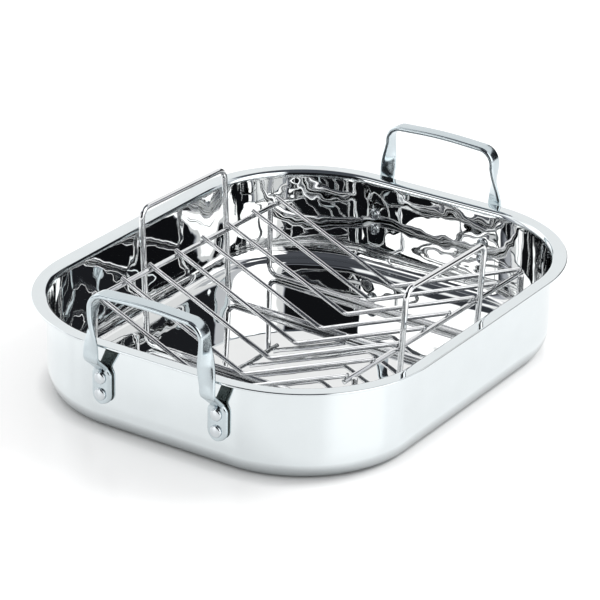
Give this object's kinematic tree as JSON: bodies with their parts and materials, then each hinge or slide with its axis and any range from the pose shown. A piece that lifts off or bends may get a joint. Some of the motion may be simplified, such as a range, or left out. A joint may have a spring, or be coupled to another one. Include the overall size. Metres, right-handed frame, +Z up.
{
  "type": "roasting pan with rack",
  "caption": "Rectangular steel roasting pan with rounded corners, a flared lip and riveted strap handles, holding a V-shaped wire rack with lifting loops.",
  "frame": {"origin": "on the surface that the pan stands on, under the middle of the pan", "axes": "+X along the pan towards the back handle, +Y across the pan towards the left rail, +Z up"},
  "size_m": [0.454, 0.357, 0.1343],
  "materials": {
    "pan_steel": "mirror-polished stainless steel",
    "handle_steel": "buffed forged stainless steel",
    "rivet_steel": "polished stainless steel",
    "rack_wire": "bright drawn stainless wire"
  },
  "bodies": {
    "pan": {"pan_body": "pan_steel", "front_handle": "handle_steel", "back_handle": "handle_steel", "front_left_upper_rivet": "rivet_steel", "front_left_lower_rivet": "rivet_steel", "front_right_upper_rivet": "rivet_steel", "front_right_lower_rivet": "rivet_steel", "back_left_upper_rivet": "rivet_steel", "back_left_lower_rivet": "rivet_steel", "back_right_upper_rivet": "rivet_steel", "back_right_lower_rivet": "rivet_steel"},
    "rack": {"cradle_wire_1": "rack_wire", "cradle_wire_2": "rack_wire", "cradle_wire_3": "rack_wire", "cradle_wire_4": "rack_wire", "cradle_wire_5": "rack_wire", "cradle_wire_6": "rack_wire", "cradle_wire_7": "rack_wire", "cradle_wire_8": "rack_wire", "left_side_rail": "rack_wire", "right_side_rail": "rack_wire", "front_foot_frame": "rack_wire", "back_foot_frame": "rack_wire", "left_lift_handle": "rack_wire", "right_lift_handle": "rack_wire"}
  },
  "joints": [
    {"name": "rack_lift", "type": "slide", "parent": "pan", "child": "rack", "axis": [0, 0, 1], "range_m": [0, 0.15]}
  ]
}
